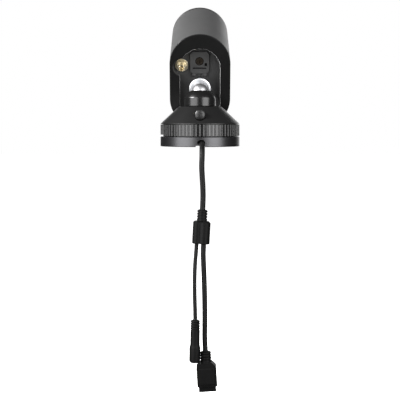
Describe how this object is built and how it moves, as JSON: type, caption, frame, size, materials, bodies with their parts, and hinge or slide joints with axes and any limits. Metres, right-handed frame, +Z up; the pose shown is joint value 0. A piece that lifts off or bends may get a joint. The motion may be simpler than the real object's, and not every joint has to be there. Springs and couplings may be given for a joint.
{
  "type": "security camera",
  "caption": "Pill-section outdoor camera on a ball mount with a round locking base and a cable that splits into a power socket and a data socket.",
  "frame": {"origin": "centre of the base's mounting face", "axes": "+Z up along the base's axis, the camera looks along +Y, +X to the right seen from behind the camera"},
  "size_m": [0.0788, 0.2288, 0.3861],
  "materials": {
    "base_alloy": "black anodised, finely turned",
    "black_paint": "satin black coat",
    "black_ring": "satin black, moulded ribs",
    "black_gloss": "glossy black coat",
    "black_plastic": "satin black",
    "door_plastic": "matt dark grey",
    "white_plastic": "natural",
    "grey_paint": "die-cast, fine matt dark grey powder coat",
    "bare_alloy": "mill finish",
    "steel": "plated",
    "chrome": "polished",
    "brass": "turned",
    "contact_gold": "gold plated",
    "lock_metal": "dark olive",
    "cable_rubber": "smooth sheath",
    "cable_moulding": "soft moulded plastic",
    "seal_rubber": "matt",
    "window_glass": "dark tint",
    "lens_glass": "coated",
    "filter_glass": "coated",
    "lamp_clear": "clear",
    "board_green": "solder mask",
    "board_black": "solder mask",
    "chip_black": "moulded"
  },
  "bodies": {
    "base": {"base_plate": "base_alloy", "cable_clamp": "black_plastic", "clamp_screws": "steel", "inner_lead": "cable_rubber", "base_seal": "seal_rubber", "mount_cone": "black_paint", "main_cable": "cable_rubber", "split_block": "cable_moulding", "power_cable": "cable_rubber", "power_socket": "cable_moulding", "power_pin": "contact_gold", "data_cable": "cable_rubber", "data_socket": "cable_moulding", "data_contacts": "contact_gold"},
    "lock_ring": {"lock_ring": "black_ring"},
    "pan_lock": {"pan_lock": "black_paint"},
    "post": {"collar_post": "black_gloss", "ball_seat": "white_plastic", "seat_springs": "steel", "seat_plug": "brass", "post_washer": "white_plastic", "post_clip": "steel"},
    "stud": {"ball_stud": "chrome", "stud_nut": "steel", "stud_lead": "cable_rubber"},
    "head": {"rear_cap": "black_plastic", "hinge_pins": "steel", "rear_seal": "seal_rubber", "threaded_insert": "black_paint", "body_shell": "grey_paint", "aerial_socket": "contact_gold", "aerial_washer": "brass", "aerial_nut": "brass", "aerial_lead": "cable_rubber", "card_slot": "steel", "reset_switch": "black_plastic", "front_seal": "seal_rubber", "front_bezel": "black_plastic", "front_window": "window_glass", "lens_shade": "seal_rubber", "lens_barrel": "black_paint", "lens_elements": "lens_glass", "lens_holder": "black_plastic", "infrared_filter": "filter_glass", "image_sensor": "chip_black", "sensor_board": "board_green", "lamp_board": "board_black", "infrared_lamps": "lamp_clear", "chassis": "bare_alloy", "board_screws": "steel", "main_board": "board_green", "board_parts": "chip_black", "heat_spreader": "bare_alloy", "power_board": "board_green", "power_parts": "chip_black"},
    "door": {"service_door": "door_plastic", "door_seal": "seal_rubber"},
    "door_lock": {"door_lock": "lock_metal"},
    "memory_card": {"memory_card": "chip_black"},
    "reset_button": {"reset_button": "white_plastic"}
  },
  "joints": [
    {"name": "lock_ring_turn", "type": "hinge", "parent": "base", "child": "lock_ring", "pos_m": [0, 0, 0], "axis": [0, 0, 1], "range_deg": [0, 30]},
    {"name": "pan", "type": "hinge", "parent": "base", "child": "post", "pos_m": [0, 0, 0], "axis": [0, 0, 1], "range_deg": [-175, 175]},
    {"name": "pan_lock_turn", "type": "hinge", "parent": "base", "child": "pan_lock", "pos_m": [0, 0, 0.031], "axis": [0, -1, 0], "range_deg": [0, 180]},
    {"name": "tilt", "type": "hinge", "parent": "post", "child": "stud", "pos_m": [0, 0, 0.054], "axis": [1, 0, 0], "range_deg": [-2, 80]},
    {"name": "roll", "type": "hinge", "parent": "stud", "child": "head", "pos_m": [0, 0, 0.054], "axis": [0, 0.9548, 0.2974], "range_deg": [-10, 10]},
    {"name": "door_open", "type": "hinge", "parent": "head", "child": "door", "pos_m": [-0.0005, 0.03318, 0.07188], "axis": [1, 0, 0], "range_deg": [0, 75]},
    {"name": "door_lock_turn", "type": "hinge", "parent": "door", "child": "door_lock", "pos_m": [-0.0005, 0.02789, 0.08552], "axis": [0, 0.9548, 0.2974], "range_deg": [0, 90]},
    {"name": "card_push", "type": "slide", "parent": "head", "child": "memory_card", "axis": [0, 0.9548, 0.2974], "range_m": [0, 0.0008], "stiffness_N_per_m": 400},
    {"name": "reset_press", "type": "slide", "parent": "head", "child": "reset_button", "axis": [0, 0.9548, 0.2974], "range_m": [0, 0.0005], "stiffness_N_per_m": 800}
  ]
}
